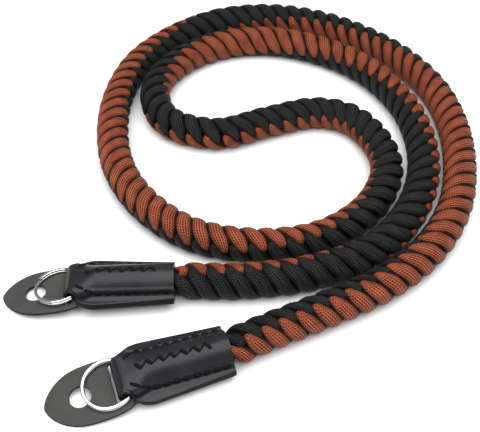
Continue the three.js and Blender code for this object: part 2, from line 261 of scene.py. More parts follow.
class PieceTree(Graph):
    """A geometry node tree with named inputs that turns a guide mesh into one finished piece."""

    def __init__(self, name: str) -> None:
        """Makes the empty tree with its geometry input and output.

        Args:
            name: The tree's name.
        """
        super().__init__(bpy.data.node_groups.new(name, "GeometryNodeTree"))
        self.values: dict[str, float | int] = {}
        self.tree.interface.new_socket("Guide", in_out="INPUT", socket_type="NodeSocketGeometry")
        self.tree.interface.new_socket("Piece", in_out="OUTPUT", socket_type="NodeSocketGeometry")
        self.inputs = self.tree.nodes.new("NodeGroupInput")

    def _given(self, name: str, kind: str, value: float | int) -> Socket:
        """Adds one named input to the tree.

        Args:
            name: The input's name.
            kind: Its socket's type name.
            value: The value that the modifier gives it.

        Returns:
            The input's socket inside the tree.
        """
        made = self.tree.interface.new_socket(name, in_out="INPUT", socket_type=kind)
        self.values[made.identifier] = value
        return self.inputs.outputs[name]

    def number(self, name: str, value: float) -> Socket:
        """Adds a named number and gives its socket."""
        return self._given(name, "NodeSocketFloat", float(value))

    def count(self, name: str, value: int) -> Socket:
        """Adds a named whole number and gives its socket."""
        return self._given(name, "NodeSocketInt", value)

    def guide(self) -> Socket:
        """The guide mesh."""
        return self.inputs.outputs["Guide"]

    def named(self, name: str, kind: str = "FLOAT") -> Socket:
        """Reads a named attribute."""
        made = self.node("GeometryNodeInputNamedAttribute", {"data_type": kind}, Name=name)
        return self.result(made, "Attribute")

    def stored(self, geometry: Socket, name: str, value: Socket, kind: str = "FLOAT") -> Socket:
        """Stores a value on the points of a geometry.

        Args:
            geometry: The geometry.
            name: The attribute's name.
            value: The value.
            kind: The attribute's type name.

        Returns:
            The geometry with the attribute.
        """
        made = self.node(
            "GeometryNodeStoreNamedAttribute", {"data_type": kind, "domain": "POINT"},
            Geometry=geometry, Name=name, Value=value,
        )
        return made.outputs[0]

    def sampled(self, curve: Socket, name: str, at: Socket, kind: str = "FLOAT") -> bpy.types.Node:
        """Reads a curve and one of its attributes at a distance along it.

        Args:
            curve: The curve.
            name: The attribute's name.
            at: The distance.
            kind: The attribute's type name.

        Returns:
            The node, which also gives the place and the tangent there.
        """
        return self.node(
            "GeometryNodeSampleCurve", {"mode": "LENGTH", "data_type": kind},
            Curves=curve, Value=self.named(name, kind), Length=at,
        )

    def finish(self, geometry: Socket, material: bpy.types.Material) -> None:
        """Ends the tree in smooth shading, real geometry and one material.

        Args:
            geometry: What the tree has made.
            material: The material.
        """
        smooth = self.node("GeometryNodeSetShadeSmooth", Geometry=geometry)
        real = self.node("GeometryNodeRealizeInstances", Geometry=smooth.outputs[0])
        painted = self.node("GeometryNodeSetMaterial", Geometry=real.outputs[0], Material=material)
        end = self.tree.nodes.new("NodeGroupOutput")
        self.tree.links.new(painted.outputs[0], end.inputs[0])

    def make(self, guide: Piece, name: str) -> Piece:
        """Runs the tree on a guide mesh and turns the result into a plain mesh.

        Args:
            guide: The object whose mesh the tree follows. It is removed afterwards.
            name: The finished piece's name.

        Returns:
            The finished piece.
        """
        modifier = guide.modifiers.new(name, "NODES")
        modifier.node_group = self.tree
        for identifier, value in self.values.items():
            modifier[identifier] = value
        return plain_copy(guide, name)


class MaterialTree(Graph):
    """The node tree of one material, on Object coordinates, which ends in a Principled shader."""

    def __init__(self, name: str) -> None:
        """Makes the material with an empty tree.

        Args:
            name: The material's name.
        """
        self.material = bpy.data.materials.new(name)
        self.material.use_nodes = True
        super().__init__(self.material.node_tree)
        self.tree.nodes.clear()
        self.place = self.node("ShaderNodeTexCoord").outputs["Object"]

    def attribute(self, name: str) -> Socket:
        """Reads one of the mesh's own attributes."""
        return self.node("ShaderNodeAttribute", {"attribute_name": name}).outputs["Fac"]

    def noise(self, scale: float, detail: float) -> Socket:
        """Reads soft noise, from 0 to 1, with so many cells in a metre."""
        return self.node("ShaderNodeTexNoise", Vector=self.place, Scale=scale, Detail=detail).outputs["Fac"]

    def varied(self, share: Socket, middle: float, play: float) -> Socket:
        """A number that a share from 0 to 1 moves about its middle, by so much in all."""
        return self.math("MULTIPLY_ADD", share, play, middle - play / 2)

    def tint(self, share: Socket, low: Triple, high: Triple, start: float = 0, end: float = 1) -> Socket:
        """Turns a number into a colour between two colours.

        Args:
            share: The number.
            low: The colour up to start.
            high: The colour from end on.
            start: Where the blend begins.
            end: Where it ends.

        Returns:
            The colour.
        """
        made = self.node("ShaderNodeValToRGB", Fac=share)
        stops = made.color_ramp.elements
        stops[0].position = start
        stops[0].color = (*low, 1.0)
        stops[1].position = end
        stops[1].color = (*high, 1.0)
        return made.outputs["Color"]

    def bump(self, height: Socket, strength: float, depth: float) -> Socket:
        """The surface's normal over a relief that is depth millimetres deep."""
        made = self.node("ShaderNodeBump", Strength=strength, Distance=depth * MM, Height=height)
        return made.outputs["Normal"]

    def finish(self, **inputs: Any) -> bpy.types.Material:
        """Ends the tree in its shader.

        Args:
            **inputs: The shader's socket names with underscores for spaces, and a value for each.

        Returns:
            The material.
        """
        shader = self.node("ShaderNodeBsdfPrincipled", **inputs)
        self.node("ShaderNodeOutputMaterial", Surface=shader.outputs[0])
        return self.material


# Meshes


def linked(name: str, data: bpy.types.ID) -> Piece:
    """Makes an object and links it to the scene.

    Args:
        name: The object's name.
        data: Its mesh, curve, camera or light.

    Returns:
        The new object, at the origin.
    """
    made = bpy.data.objects.new(name, data)
    bpy.context.scene.collection.objects.link(made)
    return made


def plain_copy(holder: Piece, name: str) -> Piece:
    """Turns an object with modifiers into a plain mesh object and removes the holder.

    Args:
        holder: The object to evaluate.
        name: The new object's name.

    Returns:
        The new object, at the origin.
    """
    graph = bpy.context.evaluated_depsgraph_get()
    graph.update()
    mesh = bpy.data.meshes.new_from_object(
        holder.evaluated_get(graph), preserve_all_data_layers=True, depsgraph=graph,
    )
    mesh.name = name
    holder.modifiers.clear()
    bpy.data.objects.remove(holder)
    return linked(name, mesh)


def mesh_object(
    name: str, points: Sequence[Vector], faces: Sequence[Sequence[int]] = (), edges: Sequence[Pair] = (),
) -> Piece:
    """Makes a mesh object from points in millimetres.

    Args:
        name: The object's name.
        points: The points in millimetres.
        faces: Corners of each face.
        edges: Ends of each edge, for a mesh that is only a guide line.

    Returns:
        The new object, at the origin.
    """
    mesh = bpy.data.meshes.new(name)
    mesh.from_pydata([tuple(p * MM) for p in points], list(edges), list(faces))
    mesh.update()
    return linked(name, mesh)


def note_vectors(thing: Piece, name: str, values: Sequence[Vector]) -> None:
    """Stores one vector on each point of a mesh."""
    store = thing.data.attributes.new(name, "FLOAT_VECTOR", "POINT")
    store.data.foreach_set("vector", [c for value in values for c in value])


def note_numbers(thing: Piece, name: str, values: Sequence[float]) -> None:
    """Stores one number on each point of a mesh."""
    store = thing.data.attributes.new(name, "FLOAT", "POINT")
    store.data.foreach_set("value", list(values))


def skin_faces(rings: int, count: int) -> list[tuple[int, ...]]:
    """Faces of a closed body through rings of points, with a flat cap at each end.

    Args:
        rings: The number of rings.
        count: The number of points in each ring.

    Returns:
        The faces, which point outwards where the rings run anticlockwise seen from the last one.
    """
    faces: list[tuple[int, ...]] = []
    for r in range(rings - 1):
        for k in range(count):
            a = r * count + k
            b = r * count + (k + 1) % count
            faces.append((a, b, b + count, a + count))
    last = (rings - 1) * count
    faces.append(tuple(reversed(range(count))))
    faces.append(tuple(range(last, last + count)))
    return faces


def outward(thing: Piece) -> None:
    """Turns a closed mesh the right way out if its volume comes out negative.

    Args:
        thing: The mesh object.
    """
    mesh = thing.data
    volume = 0.0
    for face in mesh.polygons:
        corners = [mesh.vertices[v].co for v in face.vertices]
        for b, c in zip(corners[1:], corners[2:]):
            volume += corners[0].dot(b.cross(c))
    if volume < 0:
        mesh.flip_normals()


def weld(thing: Piece, distance: float = 1e-6) -> None:
    """Merges the doubled points of a mesh and turns its faces outwards.

    Args:
        thing: The mesh object.
        distance: How far apart two doubled points may be, in metres.
    """
    mesh = bmesh.new()
    mesh.from_mesh(thing.data)
    bmesh.ops.remove_doubles(mesh, verts=mesh.verts, dist=distance)
    bmesh.ops.recalc_face_normals(mesh, faces=mesh.faces)
    mesh.to_mesh(thing.data)
    mesh.free()


def shade(piece: Piece, crease: float, material: bpy.types.Material) -> None:
    """Smooths a piece and gives it a material.

    Args:
        piece: The piece.
        crease: The angle in degrees from which an edge stays sharp.
        material: The material.
    """
    piece.data.shade_smooth()
    piece.data.set_sharp_from_angle(angle=math.radians(crease))
    piece.data.materials.clear()
    piece.data.materials.append(material)


def carve(piece: Piece, cutters: Sequence[Piece], name: str) -> Piece:
    """Subtracts closed cutters from a closed piece and removes them.

    Args:
        piece: The body to cut.
        cutters: The bodies to take away.
        name: The finished piece's name.

    Returns:
        The cut piece as a plain mesh.
    """
    for cutter in cutters:
        cut = piece.modifiers.new("cut", "BOOLEAN")
        cut.operation = "DIFFERENCE"
        cut.solver = "EXACT"
        cut.object = cutter
    done = plain_copy(piece, name)
    for cutter in cutters:
        bpy.data.objects.remove(cutter)
    return done


# Finishes


def lighter(colour: Triple, factor: float) -> Triple:
    """A colour made lighter by a factor, or darker by one under 1."""
    return (colour[0] * factor, colour[1] * factor, colour[2] * factor)


@dataclass(frozen=True)
class WovenFinish:
    """Braided nylon: lengthwise ribs of small slanting strands.

    crest is its colour on the relief's tops and groove_shade the painted shade in its grooves. ribs is the
    number of ribs round the cord, strand the length of a strand, slant how far it leans across its rib,
    rib_share how much of the relief the ribs are, depth the relief, clouds the scale and detail of the
    colour's clouding and clouding how strong it is. tint_from and tint_to are the relief's heights
    between which the colour goes from groove_shade to crest. Faces that are turned to a neighbouring
    turn are darkened with painted shade down to shadow, from crease_shade_from to crease_shade_to round
    the cord.
    """

    name: str
    crest: Triple
    groove_shade: Triple
    ribs: int = 20
    strand: float = 0.75
    slant: float = 0.5
    rib_share: float = 0.55
    depth: float = 0.45
    clouds: Pair = (260.0, 3.0)
    clouding: float = 0.5
    tint_from: float = 0.36
    tint_to: float = 0.92
    crease_shade_from: float = 0.085
    crease_shade_to: float = 0.195
    shadow: float = 0.05
    roughness: float = 0.5
    specular: float = 0.12
    sheen: float = 0.03
    sheen_roughness: float = 0.45

    def _relief(self, tree: MaterialTree, around: Socket) -> Socket:
        """The height of the ribs and strands.

        Args:
            tree: The material's tree.
            around: The place round the cord, from 0 to 1.

        Returns:
            The height, from 0 to 1.
        """
        column = tree.times(around, float(self.ribs))
        inside = tree.math("SUBTRACT", tree.math("FRACT", column), 0.5)
        odd = tree.math("MODULO", tree.math("FLOOR", column), 2.0)
        side = tree.math("SUBTRACT", tree.times(odd, 2.0), 1.0)
        rib = tree.math("COSINE", tree.times(inside, math.pi))
        strands = tree.math("DIVIDE", tree.attribute("along"), self.strand * MM)
        slanted = tree.times(inside, side, 2 * self.slant)
        phase = tree.times(tree.math("ADD", strands, slanted), FULL_TURN)
        strand = tree.math("MULTIPLY_ADD", tree.math("SINE", phase), 0.5, 0.5)
        return tree.math("MULTIPLY_ADD", rib, self.rib_share, tree.times(strand, 1 - self.rib_share))

    def material(self) -> bpy.types.Material:
        """Builds the material from the cord's own along and around attributes.

        Returns:
            The material.
        """
        tree = MaterialTree(self.name)
        around = tree.attribute("around")
        height = self._relief(tree, around)
        share = tree.math("ADD", height, tree.varied(tree.noise(*self.clouds), 0.0, self.clouding))
        # Painted shade: the colour darkens from the weave's tops down into its grooves
        colour = tree.tint(share, self.groove_shade, self.crest, self.tint_from, self.tint_to)
        # Painted shade: the faces turned towards the neighbouring turns are darkened to shadow
        aside = tree.math("ABSOLUTE", tree.math("SUBTRACT", around, 0.5))
        crease_shade = tree.eased(aside, self.crease_shade_from, self.crease_shade_to, 1.0, self.shadow)
        return tree.finish(
            Base_Color=tree.scaled(colour, crease_shade), Normal=tree.bump(height, 1.0, self.depth),
            Roughness=self.roughness, Specular_IOR_Level=self.specular, Sheen_Weight=self.sheen,
            Sheen_Roughness=self.sheen_roughness, Sheen_Tint=(*self.crest, 1.0),
        )


@dataclass(frozen=True)
class LeatherFinish:
    """Leather with a fine grain and soft clouding, rougher on its cut edges and darkened there with painted
    shade.

    base and worn are its colours, grain the pebbles in a metre, depth and relief their height and
    strength, and gloss_play how far the roughness varies. Where the cut_edge attribute rises from
    edge_from to edge_to, the colour is darkened with painted shade by the factor painted_edge_shade and
    the roughness gains edge_rougher.
    """

    name: str
    base: Triple
    worn: Triple
    roughness: float
    gloss_play: float = 0.16
    clouds: Pair = (120.0, 4.0)
    tint_from: float = 0.35
    tint_to: float = 0.7
    grain: float = 1500.0
    fine_grain: float = 1.7
    depth: float = 0.05
    relief: float = 0.6
    specular: float = 0.2
    edge_from: float = 0.3
    edge_to: float = 0.9
    painted_edge_shade: float = 0.3
    edge_rougher: float = 0.4

    def material(self) -> bpy.types.Material:
        """Builds the material.

        Returns:
            The material.
        """
        tree = MaterialTree(self.name)
        cloud = tree.noise(*self.clouds)
        cells = tree.node("ShaderNodeTexVoronoi", Vector=tree.place, Scale=self.grain)
        fine = tree.noise(self.grain * self.fine_grain, 2.0)
        height = tree.math("ADD", cells.outputs["Distance"], fine)
        edge = tree.attribute("cut_edge")
        # Painted shade: the colour darkens on the leather's cut edges
        shading = tree.eased(edge, self.edge_from, self.edge_to, 1.0, self.painted_edge_shade)
        rougher = tree.eased(edge, self.edge_from, self.edge_to, 0.0, self.edge_rougher)
        colour = tree.tint(cloud, self.base, self.worn, self.tint_from, self.tint_to)
        rough = tree.varied(cloud, self.roughness, self.gloss_play)
        return tree.finish(
            Base_Color=tree.scaled(colour, shading), Roughness=tree.math("ADD", rough, rougher),
            Normal=tree.bump(height, self.relief, self.depth), Specular_IOR_Level=self.specular,
        )


@dataclass(frozen=True)
class SteelFinish:
    """Polished plated steel with faint smears."""

    name: str = "polished_steel"
    base: Triple = (0.63, 0.63, 0.64)
    smears: Pair = (420.0, 4.0)
    smeared: float = 0.9
    clean: float = 1.05
    roughness: float = 0.12
    gloss_play: float = 0.14

    def material(self) -> bpy.types.Material:
        """Builds the material.

        Returns:
            The material.
        """
        tree = MaterialTree(self.name)
        smear = tree.noise(*self.smears)
        colour = tree.tint(smear, lighter(self.base, self.smeared), lighter(self.base, self.clean))
        rough = tree.varied(smear, self.roughness, self.gloss_play)
        return tree.finish(Base_Color=colour, Roughness=rough, Metallic=1.0)


@dataclass(frozen=True)
class ThreadFinish:
    """Black waxed sewing thread with a fine fuzz."""

    name: str = "sewing_thread"
    base: Triple = (0.003, 0.003, 0.0033)
    fuzz: Pair = (2600.0, 2.0)
    darkest: float = 0.5
    lightest: float = 1.8
    relief: float = 0.7
    depth: float = 0.08
    roughness: float = 0.7
    specular: float = 0.1

    def material(self) -> bpy.types.Material:
        """Builds the material.

        Returns:
            The material.
        """
        tree = MaterialTree(self.name)
        fuzz = tree.noise(*self.fuzz)
        colour = tree.tint(fuzz, lighter(self.base, self.darkest), lighter(self.base, self.lightest))
        return tree.finish(
            Base_Color=colour, Normal=tree.bump(fuzz, self.relief, self.depth),
            Roughness=self.roughness, Specular_IOR_Level=self.specular,
        )


@dataclass(frozen=True)
class FloorFinish:
    """A plain matte white table."""

    name: str = "pale_floor"
    base: Triple = (0.8, 0.8, 0.8)
    clouds: Pair = (6.0, 2.0)
    clouded: float = 0.99
    roughness: float = 0.9
    specular: float = 0.1

    def material(self) -> bpy.types.Material:
        """Builds the material.

        Returns:
            The material.
        """
        tree = MaterialTree(self.name)
        colour = tree.tint(tree.noise(*self.clouds), lighter(self.base, self.clouded), self.base)
        return tree.finish(
            Base_Color=colour, Roughness=self.roughness, Specular_IOR_Level=self.specular,
        )


# The knotted strap


class CordColour(Enum):
    """The strap's two cords, each with the side of the strap that its lobes cover."""

    BLACK = 1
    BROWN = -1


@dataclass
class StrapRoute:
    """The strap's centre line, measured along its length, and how the strap is twisted there.

    divisions is the number of steps between two points of the route, and step about the distance
    between two of the evenly spaced points that the cords are wound along.
    """

    divisions: int = 24
    step: float = 1.5

    def __post_init__(self) -> None:
        """Draws a centripetal Catmull-Rom curve through the route's points and measures it."""
        knots = [Vector((x / MM, y / MM, STRAP_RADIUS)) for x, y in ROUTE]
        knots = [2 * knots[0] - knots[1], *knots, 2 * knots[-1] - knots[-2]]
        fine: list[Vector] = []
        for k in range(len(knots) - 3):
            fine.extend(self._span(*knots[k:k + 4]))
        fine.append(knots[-2])
        self._fine = fine
        self._marks = [0.0]
        for a, b in zip(fine, fine[1:]):
            self._marks.append(self._marks[-1] + (b - a).length)
        self.length = self._marks[-1]
        count = round(self.length / self.step)
        self.places = [self.length * k / count for k in range(count + 1)]
        self.points = self._resampled()

    def _span(self, p0: Vector, p1: Vector, p2: Vector, p3: Vector) -> list[Vector]:
        """Draws one span of the curve.

        Args:
            p0: The point before the span.
            p1: Its first point.
            p2: Its last point.
            p3: The point after it.

        Returns:
            Its points, from p1 up to but without p2.
        """
        d0 = math.sqrt((p1 - p0).length)
        d1 = math.sqrt((p2 - p1).length)
        d2 = math.sqrt((p3 - p2).length)
        m1 = (p1 - p0) / d0 - (p2 - p0) / (d0 + d1) + (p2 - p1) / d1
        m2 = (p2 - p1) / d1 - (p3 - p1) / (d1 + d2) + (p3 - p2) / d2
        m1 *= d1
        m2 *= d1
        points = []
        for i in range(self.divisions):
            t = i / self.divisions
            cubic = (2 * p1 - 2 * p2 + m1 + m2) * t ** 3
            square = (-3 * p1 + 3 * p2 - 2 * m1 - m2) * t ** 2
            points.append(cubic + square + m1 * t + p1)
        return points

    def _resampled(self) -> list[Vector]:
        """Reads the curve at equal distances.

        Returns:
            A point for each of the places.
        """
        points = []
        k = 0
        for place in self.places:
            while k < len(self._marks) - 2 and self._marks[k + 1] < place:
                k += 1
            share = (place - self._marks[k]) / (self._marks[k + 1] - self._marks[k])
            points.append(self._fine[k].lerp(self._fine[k + 1], min(1.0, share)))
        return points

    def facing(self, k: int) -> Vector:
        """Finds the way that the black side faces.

        Args:
            k: The number of a point.

        Returns:
            The direction there.
        """
        before = self.points[max(0, k - 1)]
        after = self.points[min(len(self.points) - 1, k + 1)]
        ahead = (after - before).normalized()
        right = ahead.cross(Vector((0, 0, 1))).normalized()
        up = right.cross(ahead)
        turn = math.radians(between(TWIST, self.places[k]))
        return up * math.cos(turn) + right * math.sin(turn)

    def path(self, every: int = 3) -> list[Triple]:
        """Gives the centre line in metres.

        Args:
            every: Which points are taken. The last one always is.

        Returns:
            The points.
        """
        chosen = self.points[::every]
        if (len(self.points) - 1) % every:
            chosen.append(self.points[-1])
        return [tuple(p * MM) for p in chosen]


@dataclass
class KnottedStrap:
    """The two cords, each wound in a leaning coil whose outer turns are the strap's lobes.

    lean is how far a turn moves along the strap between its middle and its edge, in pitches, and
    evenness how steadily it does so. reach, offset, arch and inner_arch are the turn's path across
    the strap. Where its sine passes arch_ease the path goes from the inner arch to the outer one, and
    at share_ease the cord swells from tip_share to its full size. squareness under 1 makes its
    section fuller. Near a sheath the strap tapers to core_radius.
    """

    route: StrapRoute
    pitch: float = 6.05
    lean: float = 0.5
    evenness: float = 0.5
    reach: float = 5.0
    offset: float = 0.4
    arch: float = 3.82
    inner_arch: float = 1.5
    arch_ease: Pair = (-0.25, 0.5)
    tip_share: float = 0.64
    share_ease: Pair = (-0.15, 0.7)
    squareness: float = 0.94
    cord_width: float = 5.6
    cord_thick: float = 4.3
    steps: int = 26
    sides: int = 14
    core_radius: float = 4.1
    stub: float = 24.0
    taper_inside: float = 0.3
    taper_outside: float = 3.8

    def _squeeze(self, along: float) -> float:
        """Finds the strap's size at a distance along it.

        Args:
            along: The distance.

        Returns:
            The size as a share of its full size.
        """
        from_end = min(along, self.route.length - along)
        swell = ramp(from_end, self.stub - self.taper_inside, self.stub + self.taper_outside)
        return 1 - (1 - self.core_radius / STRAP_RADIUS) * (1 - swell)

    def _guide(self, name: str) -> Piece:
        """Makes the route as a line of points that carry the strap's facing and size.

        Args:
            name: The line's name.

        Returns:
            The line.
        """
        points = self.route.points
        line = mesh_object(name, points, edges=[(k, k + 1) for k in range(len(points) - 1)])
        note_vectors(line, "facing", [self.route.facing(k) for k in range(len(points))])
        note_numbers(line, "squeeze", [self._squeeze(s) for s in self.route.places])
        return line

    def _coil(self, tree: PieceTree, colour: CordColour, thick: Socket) -> Socket:
        """Winds the cord's centre line round the route.

        Args:
            tree: The cord's tree.
            colour: Which of the two cords.
            thick: The cord's thickness.

        Returns:
            The coil as a curve that carries its length and its fullness.
        """
        side = tree.number("Side", colour.value)
        pitch = tree.number("Pitch", self.pitch * MM)
        lean = tree.number("Lean", self.lean)
        evenness = tree.number("Evenness", self.evenness)
        reach = tree.number("Reach", self.reach * MM)
        offset = tree.number("Offset", self.offset * MM)
        arch = tree.number("Arch", self.arch * MM)
        inner = tree.number("Inner Arch", self.inner_arch * MM)
        tip = tree.number("Tip Share", self.tip_share)
        radius = tree.number("Strap Radius", STRAP_RADIUS * MM)
        turns = tree.number("Turns", math.floor(self.route.length / self.pitch - 2 * self.lean))
        steps = tree.count("Steps", self.steps)

        line = tree.node("GeometryNodeMeshLine", Count=tree.math("ADD", tree.times(turns, steps), 1.0))
        turn = tree.math("DIVIDE", tree.node("GeometryNodeInputIndex").outputs[0], steps)
        angle = tree.times(turn, FULL_TURN)
        sine = tree.math("SINE", angle)
        cosine = tree.math("COSINE", angle)
        cube = tree.math("POWER", tree.math("ABSOLUTE", cosine), 3.0)
        cube = tree.times(cube, tree.math("SIGN", cosine))
        eased = tree.math("ADD", tree.times(tree.math("SUBTRACT", cosine, cube), evenness), cube)
        shift = tree.times(lean, tree.math("SUBTRACT", 1.0, eased))
        along = tree.times(tree.math("ADD", turn, shift), pitch)

        route = tree.node("GeometryNodeMeshToCurve", Mesh=tree.guide()).outputs[0]
        spot = tree.sampled(route, "facing", along, "FLOAT_VECTOR")
        squeeze = tree.result(tree.sampled(route, "squeeze", along), "Value")
        facing = tree.vector("NORMALIZE", tree.result(spot, "Value"))
        across = tree.vector("CROSS_PRODUCT", spot.outputs["Tangent"], facing)

        bend = tree.eased(sine, *self.arch_ease, inner, arch)
        share = tree.eased(sine, *self.share_ease, tip, 1.0)
        x = tree.times(cosine, reach, -1.0)
        y = tree.math("MULTIPLY_ADD", sine, bend, offset)
        away = tree.math("SQRT", tree.math("ADD", tree.times(x, x), tree.times(y, y)))
        limit = tree.math("SUBTRACT", radius, tree.times(thick, 0.5, share))
        held = tree.math("MINIMUM", tree.math("DIVIDE", limit, away), 1.0)
        signed = tree.times(side, squeeze, held)
        aside = tree.scaled(across, tree.times(x, signed))
        outer = tree.scaled(facing, tree.times(y, signed))
        place = tree.vector("ADD", tree.vector("ADD", spot.outputs["Position"], aside), outer)

        slope = tree.math("DIVIDE", tree.times(cosine, -1.0), reach)
        rise = tree.math("DIVIDE", sine, arch)
        flat = tree.scaled(across, tree.times(slope, side))
        tall = tree.scaled(facing, tree.times(rise, side))
        outward_way = tree.vector("NORMALIZE", tree.vector("ADD", flat, tall))
        marked = tree.stored(line.outputs[0], "outward", outward_way, "FLOAT_VECTOR")
        marked = tree.stored(marked, "fullness", tree.times(squeeze, share))
        placed = tree.node("GeometryNodeSetPosition", Geometry=marked, Position=place).outputs[0]
        turned = tree.node(
            "GeometryNodeSetCurveNormal", {"mode": "FREE"},
            Curve=tree.node("GeometryNodeMeshToCurve", Mesh=placed).outputs[0],
            Normal=tree.named("outward", "FLOAT_VECTOR"),
        ).outputs[0]
        return tree.stored(turned, "along", tree.node("GeometryNodeSplineParameter").outputs["Length"])

    def _section(self, tree: PieceTree, thick: Socket) -> Socket:
        """Draws the cord's cross section.

        Args:
            tree: The cord's tree.
            thick: The cord's thickness.

        Returns:
            The section as a curve that carries the place round the cord.
        """
        width = tree.number("Cord Width", self.cord_width * MM)
        square = tree.number("Squareness", self.squareness)
        sides = tree.count("Sides", self.sides)
        ring = tree.node("GeometryNodeCurvePrimitiveCircle", Resolution=sides, Radius=0.5).outputs[0]
        rim = tree.stored(ring, "around", tree.node("GeometryNodeSplineParameter").outputs["Factor"])
        position = tree.node("GeometryNodeInputPosition").outputs[0]
        corner = tree.node("ShaderNodeSeparateXYZ", Vector=position)
        fuller = []
        for value in (corner.outputs["X"], corner.outputs["Y"]):
            size = tree.math("POWER", tree.times(tree.math("ABSOLUTE", value), 2.0), square)
            fuller.append(tree.times(size, 0.5, tree.math("SIGN", value)))
        oval = tree.joined(tree.times(fuller[0], thick, -1.0), tree.times(fuller[1], width), 0.0)
        return tree.node("GeometryNodeSetPosition", Geometry=rim, Position=oval).outputs[0]

    def build(self, colour: CordColour, finish: WovenFinish) -> Piece:
        """Args:
            colour: Which of the two cords.
            finish: Its finish.

        Returns:
            The finished cord.
        """
        name = f"{colour.name.lower()}_cord_lobes"
        tree = PieceTree(name)
        thick = tree.number("Cord Thickness", self.cord_thick * MM)
        swept = tree.node(
            "GeometryNodeCurveToMesh", Curve=self._coil(tree, colour, thick),
            Profile_Curve=self._section(tree, thick), Scale=tree.named("fullness"), Fill_Caps=True,
        )
        tree.finish(swept.outputs[0], finish.material())
        cord = tree.make(self._guide(f"{name}_line"), name)
        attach(cord, "root")
        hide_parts(f"{colour.name.lower()}_cord")
        path = self.route.path()
        return cord


# The ends


@dataclass(frozen=True)
class EndPlace:
    """How one end of the strap lies, in millimetres and degrees.

    mouth is the middle of the sheath's mouth over the table, heading the way from the fold to the
    mouth and roll the turn about it. neck_height is the height of the fold's middle. The pad is
    moved on its bar by pad_at and pad_shift and turned by pad_turn, and its slot begins at
    slot_from. ring_at, ring_shift, ring_lift and ring_roll place the ring on the pad, and ring_jog
    is where its wire steps from turn to turn.
    """

    name: str
    mouth: Pair
    heading: float
    roll: float
    neck_height: float
    pad_at: float
    pad_shift: float
    pad_turn: float
    slot_from: float
    ring_at: float
    ring_shift: float
    ring_lift: float
    ring_roll: float
    ring_jog: float


ENDS = [
    EndPlace(
        "rear", mouth=(-26.8, -55.1), heading=1.8, roll=-4, neck_height=5.4,
        pad_at=0.4, pad_shift=0, pad_turn=1, slot_from=0.5,
        ring_at=-0.9, ring_shift=0.1, ring_lift=0.45, ring_roll=-3.5, ring_jog=188,
    ),
    EndPlace(
        "front", mouth=(-9.0, -82.0), heading=18.8, roll=8, neck_height=5.9,
        pad_at=0, pad_shift=-0.45, pad_turn=0, slot_from=0.5,
        ring_at=-0.5, ring_shift=-0.2, ring_lift=0.1, ring_roll=0, ring_jog=20,
    ),
]


@dataclass(frozen=True)
class SheathRow:
    """One cross section of a sheath, at a distance from the fold's outer edge.

    half is half its sewn width, flange half its thickness at the sides, crown its height above the
    middle plane and belly its depth below it, bulge half the crown's width and power its roundness.
    rise goes from 0 at the height of the neck to 1 at the height of the flanges.
    """

    at: float
    half: float
    flange: float
    crown: float
    belly: float
    bulge: float
    power: float
    rise: float


SHEATH_ROWS = [
    SheathRow(1.2, 5.7, 1.3, 1.3, 1.3, 4, 0.3, 0),
    SheathRow(1.6, 6, 2.4, 2.4, 2.4, 4, 0.3, 0),
    SheathRow(2.2, 6, 3.3, 3.3, 3.3, 4.4, 0.3, 0),
    SheathRow(3.4, 6.2, 3.7, 3.9, 3.85, 5.4, 0.3, 0),
    SheathRow(5.0, 7.0, 3.4, 4.2, 3.9, 6.2, 0.3, 0),
    SheathRow(5.8, 8.4, 1.4, 4.5, 3.9, 7.6, 0.3, 0),
    SheathRow(7.0, 9.2, 1.3, 4.9, 4.1, 7.2, 0.35, 0.2),
    SheathRow(8.6, 9.8, 1.3, 5.7, 4.35, 6.8, 0.5, 0.55),
    SheathRow(10.6, 10.1, 1.3, 6.5, 4.6, 6.4, 0.7, 0.9),
    SheathRow(12.2, 10.1, 1.25, 6.9, 4.75, 6.3, 0.75, 1),
    SheathRow(24, 9.3, 1.25, 6.95, 4.75, 6.4, 0.75, 1),
    SheathRow(37, 8.4, 1.25, 6.95, 4.75, 6.4, 0.75, 1),
]


